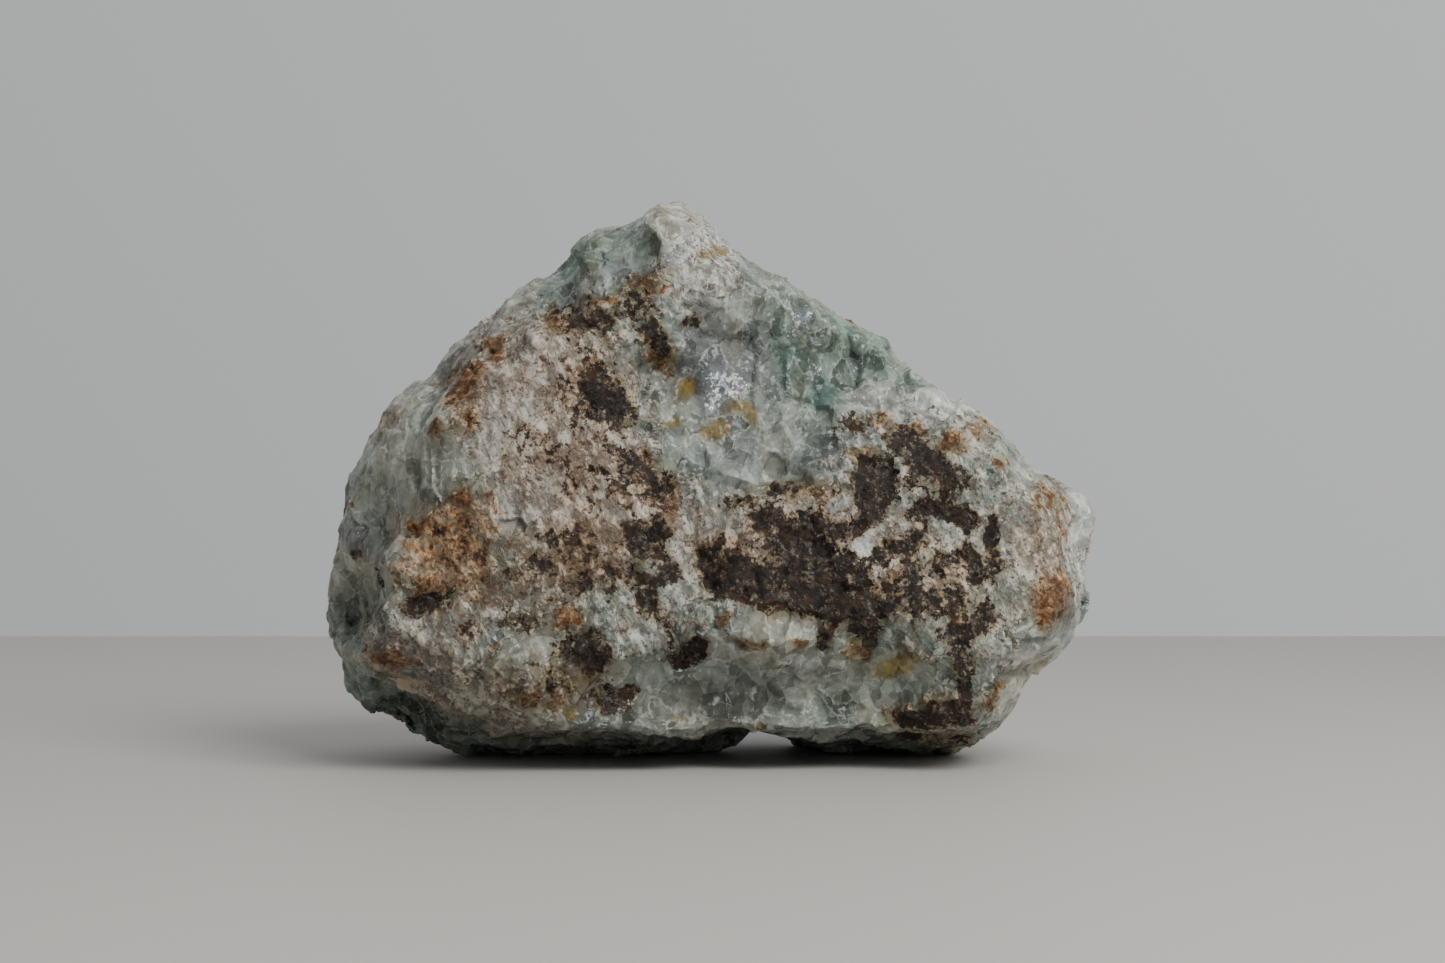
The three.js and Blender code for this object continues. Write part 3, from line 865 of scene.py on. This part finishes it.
# %% Relief tree
GRAIN = 4.6 * MM
SMALL_GRAIN = 2.2 * MM
BEND = 2.6 * MM
BENT_BY = 0.8 * MM
DEEPER = (1.0, 0.8, 1.0)
DRAWN_OUT = (1.0, 1.0, 0.8)
RAGGED = 3.4 * MM
CRUST_RAGGED = 0.7
IRON_RAGGED = 0.6
SUGAR = 1.6 * MM
CHIP = 1.0 * MM
STREAK = (0.45, 0.0, -0.89)
STREAKED = 0.55


def stored(recipe, name, kind="FLOAT"):
    """A layer of the mesh, read inside Geometry Nodes."""
    return recipe.node("GeometryNodeInputNamedAttribute", name, data_type=kind).outputs[0]


def relief_tree():
    tree = bpy.data.node_groups.new("relief", "GeometryNodeTree")
    tree.interface.new_socket("Stone", in_out="INPUT", socket_type="NodeSocketGeometry")
    tree.interface.new_socket("Stone", in_out="OUTPUT", socket_type="NodeSocketGeometry")
    r = Recipe(tree)
    start = r.node("NodeGroupInput")
    end = r.node("NodeGroupOutput")
    place = r.vector("MULTIPLY", stored(r, "grown", "FLOAT_VECTOR"), DEEPER)
    ragged = r.calc("SUBTRACT", r.chance(place, RAGGED), 0.5)
    crust_here = r.ramp(r.total(stored(r, "crust"), r.times(ragged, CRUST_RAGGED)), 0.3, 0.7)
    glass_here = r.calc("SUBTRACT", 1.0, crust_here)
    iron_here = r.ramp(r.total(stored(r, "brown"), r.times(ragged, IRON_RAGGED)), 0.42, 0.6)

    bent = r.bent(r.vector("MULTIPLY", place, DRAWN_OUT), BEND, BENT_BY)
    planes = r.times(r.face(bent, r.grain(bent, 9 * MM), 0.16), r.ramp(r.seam(bent, 9 * MM), 0.0, 0.06))
    tops = r.times(r.face(bent, r.grain(bent, GRAIN), 0.11), r.ramp(r.seam(bent, GRAIN), 0.0, 0.08))
    small_tops = r.times(
        r.face(bent, r.grain(bent, SMALL_GRAIN), 0.1), r.ramp(r.seam(bent, SMALL_GRAIN), 0.0, 0.12)
    )
    glass = r.times(r.total(planes, tops, small_tops), glass_here)

    swell = r.times(r.calc("SUBTRACT", r.noise(place, 8.0 * MM, 3, 0.5), 0.5), 4.0 * MM)
    lumps = r.times(r.face(bent, r.grain(bent, 3.2 * MM), 0.14), r.ramp(r.seam(bent, 3.2 * MM), 0.0, 0.15))
    crust_height = r.times(r.total(swell, lumps, 0.4 * MM), crust_here)

    pits = r.times(r.calc("SUBTRACT", r.noise(place, 2.4 * MM, 3, 0.6), 0.62), 2.2 * MM)
    iron = r.times(pits, iron_here)
    height = r.total(glass, crust_height, iron)
    offset = r.scaled(r.node("GeometryNodeInputNormal").outputs[0], height)
    moved = r.node("GeometryNodeSetPosition", start.outputs[0])
    r.feed(moved.inputs["Offset"], offset)
    tree.links.new(moved.outputs[0], end.inputs[0])
    return tree


relief = lump.modifiers.new("relief", "NODES")
relief.node_group = relief_tree()
frozen(lump)
shift = np.linalg.norm(positions(lump.data) - sight.place, axis=1)
print("relief moves points by", round(float(shift.mean()), 2), "mm, at most", round(float(shift.max()), 2))

# %% [markdown]
# ### Standing on the table
#
# The relief may push a few points below the table. They are set back on it, so that the stone really
# rests. Then the Decimate modifier thins the net. A triangle count that is fixed keeps the piece light
# wherever it is used. Edges sharper than 38 degrees stay sharp, and all the others are shaded smooth, as
# broken glass looks.

# %% Standing on the table, and fewer triangles
MOST_TRIANGLES = 196000
SHARP_EDGE = math.radians(38)

flat = positions(lump.data)
flat[:, 2] = np.maximum(flat[:, 2], 0)
lump.data.vertices.foreach_set("co", (flat * MM).ravel())
thin = lump.modifiers.new("thin", "DECIMATE")
thin.ratio = MOST_TRIANGLES / (2 * len(lump.data.polygons))
frozen(lump)
flat = positions(lump.data)
flat[:, 2] = np.maximum(flat[:, 2], 0)
lump.data.vertices.foreach_set("co", (flat * MM).ravel())
lump.data.shade_smooth()
lump.data.set_sharp_from_angle(angle=SHARP_EDGE)
triangles = sum(len(face.vertices) - 2 for face in lump.data.polygons)
print("stone:", triangles, "triangles")

# %% [markdown]
# ## The stone's material
#
# One Principled shader holds the whole stone, because crust and grains pass into each other. Its colour is
# mixed in the order in which the real stone got it: glassy grains with pale seams between them, sugary
# crust, ochre and rust that water left in cracks, and last the dark iron patches with white flecks.
# A layer's plan from above says where, and noise makes its edge ragged.

# %% Material
WHITE_SEAM = (0.60, 0.62, 0.57)
MILK = (0.46, 0.49, 0.45)
HONEY = (0.36, 0.33, 0.24)
# Painted highlight colours: white glint specks, and a blue-grey painted reflection around them.
PAINTED_HIGHLIGHT = (0.97, 0.99, 1.0)
PAINTED_REFLECTION_TINT = (0.26, 0.31, 0.37)
# Dark colour for the crust's pits, and for painted shade in the cracks between its grains.
CRUST_DARK_AND_SHADE = (0.17, 0.13, 0.095)
CRUST_WHITE = (0.66, 0.63, 0.57)
CRUST_WARM = (0.40, 0.30, 0.20)
CRUST_GREY = (0.36, 0.36, 0.33)
CLEAR = (1.0, 1.0, 1.0)
TAN_WASH = (0.80, 0.66, 0.50)
RUST_AMBER = (0.70, 0.47, 0.28)
RUST_ORANGE = (0.50, 0.23, 0.08)
RUST_BROWN = (0.26, 0.10, 0.035)
OCHRE_GOLD = (0.25, 0.17, 0.025)
FRECKLE = (0.09, 0.05, 0.03)
IRON_BLACK = (0.006, 0.0045, 0.0035)
IRON_GREY = (0.042, 0.031, 0.024)
DUST = (0.25, 0.21, 0.17)
IRON_RED = (0.08, 0.035, 0.013)
GLASS_GLOW = 0.5
CRUST_GLOW = 0.2


def layer(recipe, name):
    """A layer of the mesh, read inside the material."""
    made = recipe.node("ShaderNodeAttribute", attribute_name=name)
    return made.outputs["Fac"], made.outputs["Vector"]


def stone_material():
    material = bpy.data.materials.new("fluorite_and_crust")
    material.use_nodes = True
    tree = material.node_tree
    r = Recipe(tree)
    shader = tree.nodes["Principled BSDF"]
    place = r.vector("MULTIPLY", layer(r, "grown")[1], DEEPER)
    fine = r.chance(place, 0.9 * MM, 4, 0.65)
    middle = r.chance(place, RAGGED)
    ragged = r.calc("SUBTRACT", middle, 0.5)
    crumbs = r.chance(place, 1.5 * MM, 5, 0.65)
    crumbly = r.calc("SUBTRACT", crumbs, 0.5)
    speckle = r.calc("SUBTRACT", r.chance(place, 0.8 * MM, 3, 0.7), 0.5)

    # Glassy grains: each has its own tone, with milky clouds and pale, frosty seams between them.
    tint_here = layer(r, "tint")[1]
    bent = r.bent(r.vector("MULTIPLY", place, DRAWN_OUT), BEND, BENT_BY)
    big = r.node("ShaderNodeSeparateColor", r.grain(bent, GRAIN).colour).outputs
    small = r.node("ShaderNodeSeparateColor", r.grain(bent, SMALL_GRAIN).colour).outputs
    small_tone = small[1]
    cloud = r.chance(place, 6 * MM, 6, 0.65)
    depth = r.total(r.times(big[0], 0.45), r.times(small_tone, 0.25), r.times(cloud, 0.3))
    glass = r.scaled(tint_here, r.ramp(depth, 0.15, 0.85, 0.4, 1.4))
    glass = r.mixed(r.ramp(big[2], 0.65, 1.0, 0.0, 0.35), glass, HONEY)
    glass = r.mixed(r.ramp(small[2], 0.7, 1.0, 0.0, 0.25), glass, MILK)
    edge = r.calc("MINIMUM", r.seam(bent, GRAIN), r.total(r.seam(bent, SMALL_GRAIN), 0.03))
    edge = r.total(edge, r.times(speckle, 0.07))
    seam = r.times(r.ramp(edge, 0.06, 0.005), r.ramp(r.total(middle, cloud), 0.6, 1.3))
    powder = r.ramp(r.total(cloud, r.times(fine, 0.7)), 1.25, 1.55, 0.0, 0.7)
    frost = r.mixed(0.5, WHITE_SEAM, r.scaled(tint_here, 1.7))
    glass = r.mixed(r.times(r.calc("MAXIMUM", seam, powder), 0.8), glass, frost)
    # Painted highlight: a blue-grey painted reflection over the glint spots, and white specks painted on
    # some small cells there.
    painted_glint_plan = layer(r, "painted_glint")[0]
    glass = r.mixed(r.times(painted_glint_plan, 0.5), glass, PAINTED_REFLECTION_TINT)
    chip = r.node("ShaderNodeSeparateColor", r.grain(bent, CHIP).colour).outputs[0]
    painted_highlight_here = r.ramp(r.total(painted_glint_plan, r.times(speckle, 1.1), chip), 1.55, 1.7)
    glass = r.mixed(r.times(painted_highlight_here, r.ramp(painted_glint_plan, 0.0, 0.2)), glass, PAINTED_HIGHLIGHT)

    # Crust: sugary crumbs in warm, grey and white. Between them dark pits: partly dark specks, partly
    # painted shade.
    sugar = r.node("ShaderNodeSeparateColor", r.grain(bent, SUGAR).colour).outputs
    along = r.times(r.vector("DOT_PRODUCT", place, STREAK), -STREAKED)
    streaky = r.vector(
        "ADD", r.bent(place, 4 * MM, 3 * MM), r.scaled(r.vector("ADD", STREAK, (0, 0, 0)), along)
    )
    wisp = r.ramp(r.noise(streaky, 1.9 * MM, 6, 0.68), 0.34, 0.66)
    crust = r.mixed(
        r.ramp(r.total(middle, r.times(sugar[1], 0.6)), 0.8, 1.3, 0.0, 0.5), tint_here, CRUST_WARM
    )
    crust = r.mixed(r.ramp(r.total(cloud, r.times(sugar[2], 0.6)), 1.0, 1.5, 0.0, 0.6), crust, CRUST_GREY)
    speck = r.total(r.times(wisp, 0.5), r.times(fine, 0.2), r.times(sugar[0], 0.3))
    crust = r.scaled(crust, r.ramp(speck, 0.2, 0.8, 0.5, 1.4))
    crust = r.mixed(r.ramp(r.total(wisp, r.times(sugar[0], 0.4)), 0.85, 1.15, 0.0, 0.75), crust, CRUST_WHITE)
    # Dark pits and painted shade: darker along the edges of the sugar grains, as if in their shadow.
    pit_and_shade = r.ramp(r.total(wisp, r.times(fine, 0.5), r.seam(bent, SUGAR)), 0.5, 0.25)
    crust = r.mixed(r.times(pit_and_shade, 0.7), crust, CRUST_DARK_AND_SHADE)
    crust_plan = layer(r, "crust")[0]
    crust_field = r.total(crust_plan, r.times(ragged, CRUST_RAGGED), r.times(crumbly, 0.4))
    crust_field = r.times(crust_field, r.ramp(crust_plan, 0.0, 0.2))
    crust_here = r.ramp(crust_field, 0.42, 0.58)
    colour = r.mixed(crust_here, glass, crust)

    # Stains tint what lies under them, so the grains still show through rust and ochre.
    blot = r.chance(place, 5 * MM, 6, 0.65)
    frayed = r.total(r.times(ragged, IRON_RAGGED), r.times(crumbly, 0.6), r.times(speckle, 0.4))
    ochre_plan = layer(r, "ochre")[0]
    ochre_here = r.ramp(
        r.times(r.total(ochre_plan, r.times(frayed, 0.6)), r.ramp(ochre_plan, 0.0, 0.2)), 0.2, 0.8
    )
    colour = r.mixed(r.times(ochre_here, 0.9), colour, r.mixed(0.2, OCHRE_GOLD, colour))
    brown_plan = layer(r, "brown")[0]
    brown_field = r.times(r.total(brown_plan, frayed), r.ramp(brown_plan, 0.0, 0.25))
    rust_plan = layer(r, "rust")[0]
    rust_field = r.times(r.total(rust_plan, r.times(frayed, 0.9)), r.ramp(rust_plan, 0.0, 0.25))
    iron_field = r.calc("MAXIMUM", rust_field, r.times(r.total(brown_field, 0.06), r.ramp(blot, 0.0, 0.7)))
    wash = r.ramp(r.total(brown_plan, rust_plan, r.times(blot, 0.4)), 0.2, 1.0)
    stain = r.mixed(wash, CLEAR, TAN_WASH)
    stain = r.mixed(r.ramp(iron_field, 0.25, 0.65), stain, RUST_AMBER)
    stain = r.mixed(r.ramp(iron_field, 0.55, 0.95), stain, RUST_ORANGE)
    stain = r.mixed(r.ramp(r.total(iron_field, r.times(crumbs, 0.6)), 1.0, 1.6), stain, RUST_BROWN)
    colour = r.mixed(1.0, colour, stain, "MULTIPLY")
    freckle = r.ramp(r.total(r.times(blot, 0.7), r.times(crumbs, 0.6), r.times(speckle, 1.1)), 0.95, 1.2)
    colour = r.mixed(r.times(freckle, crust_here, 0.8), colour, FRECKLE)
    iron_here = r.ramp(brown_field, 0.44, 0.60)
    iron = r.mixed(r.ramp(r.total(brown_field, r.times(crumbly, 0.8)), 0.4, 1.0), IRON_GREY, IRON_BLACK)
    iron = r.mixed(r.times(r.chance(place, 4 * MM, 4), r.ramp(crumbs, 0.3, 0.9), 0.6), iron, IRON_RED)
    iron = r.mixed(r.times(r.ramp(wisp, 0.5, 0.85), r.ramp(speckle, -0.1, 0.3), 0.5), iron, DUST)
    colour = r.mixed(iron_here, colour, iron)
    tree.links.new(colour, shader.inputs["Base Color"])

    # Gloss: fresh grains are glassy, sugar and iron are dull.
    rough = r.blend(
        crust_here, r.ramp(small_tone, 0.2, 0.9, 0.08, 0.3), r.ramp(sugar[2], 0.5, 0.9, 0.75, 0.3)
    )
    rough = r.blend(iron_here, rough, 0.8)
    tree.links.new(rough, shader.inputs["Roughness"])
    glow = r.times(r.blend(crust_here, GLASS_GLOW, CRUST_GLOW), r.calc("SUBTRACT", 1.0, iron_here))
    tree.links.new(glow, shader.inputs["Subsurface Weight"])

    # Small faces and pits that the mesh is too coarse for.
    glass_relief = r.total(
        r.face(bent, r.grain(bent, GRAIN), 0.22),
        r.face(bent, r.grain(bent, SMALL_GRAIN), 0.28),
        r.face(place, r.grain(place, 0.9 * MM), 0.25),
        r.times(r.noise(place, 1.0 * MM, 3), 0.06 * MM),
        r.times(r.calc("MAXIMUM", seam, powder), 0.12 * MM),
    )
    crust_relief = r.total(
        r.face(bent, r.grain(bent, SUGAR), 0.26),
        r.times(wisp, 0.3 * MM),
        r.times(r.noise(place, 0.6 * MM, 3, 0.6), 0.16 * MM),
    )
    iron_relief = r.total(
        r.face(place, r.grain(place, 1.2 * MM), 0.3), r.times(r.noise(place, 0.8 * MM, 3, 0.6), 0.4 * MM)
    )
    relief = r.blend(iron_here, r.blend(crust_here, glass_relief, crust_relief), iron_relief)
    bump = r.node("ShaderNodeBump")
    bump.inputs["Distance"].default_value = 1.0
    bump.inputs["Strength"].default_value = 1.0
    r.feed(bump.inputs["Height"], relief)
    tree.links.new(bump.outputs[0], shader.inputs["Normal"])

    shader.inputs["IOR"].default_value = 1.45
    shader.inputs["Subsurface Radius"].default_value = (1.0, 1.0, 0.9)
    shader.inputs["Subsurface Scale"].default_value = 1.5 * MM
    return material


lump.data.materials.clear()
lump.data.materials.append(stone_material())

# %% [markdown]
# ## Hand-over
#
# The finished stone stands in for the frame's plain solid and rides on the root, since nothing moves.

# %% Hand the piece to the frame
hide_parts("fluorite_lump")
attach(lump, "root")
